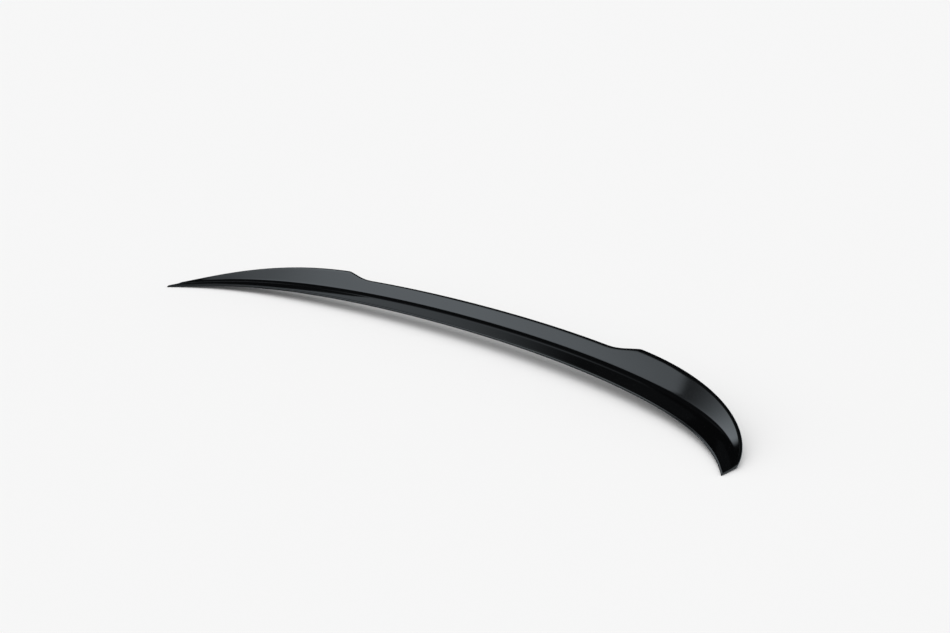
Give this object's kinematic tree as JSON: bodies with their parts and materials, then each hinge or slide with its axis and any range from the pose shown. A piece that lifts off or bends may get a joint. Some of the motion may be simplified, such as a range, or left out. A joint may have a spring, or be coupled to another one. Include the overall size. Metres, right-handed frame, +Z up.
{
  "type": "spoiler extension",
  "caption": "Bowed gloss-black lip for the rear edge of a car's boot lid, with a flat bonding band, an upturned blade, raised ears and an open underside.",
  "frame": {"origin": "on the plane of symmetry, on the underside of the bonding band, at the middle of its width", "axes": "+X towards the car's left along the lip, +Y rearwards, +Z up"},
  "size_m": [1.184, 0.2028, 0.0464],
  "materials": {
    "gloss_black_plastic": "gloss"
  },
  "bodies": {
    "root": {"spoiler_extension": "gloss_black_plastic"}
  },
  "joints": []
}
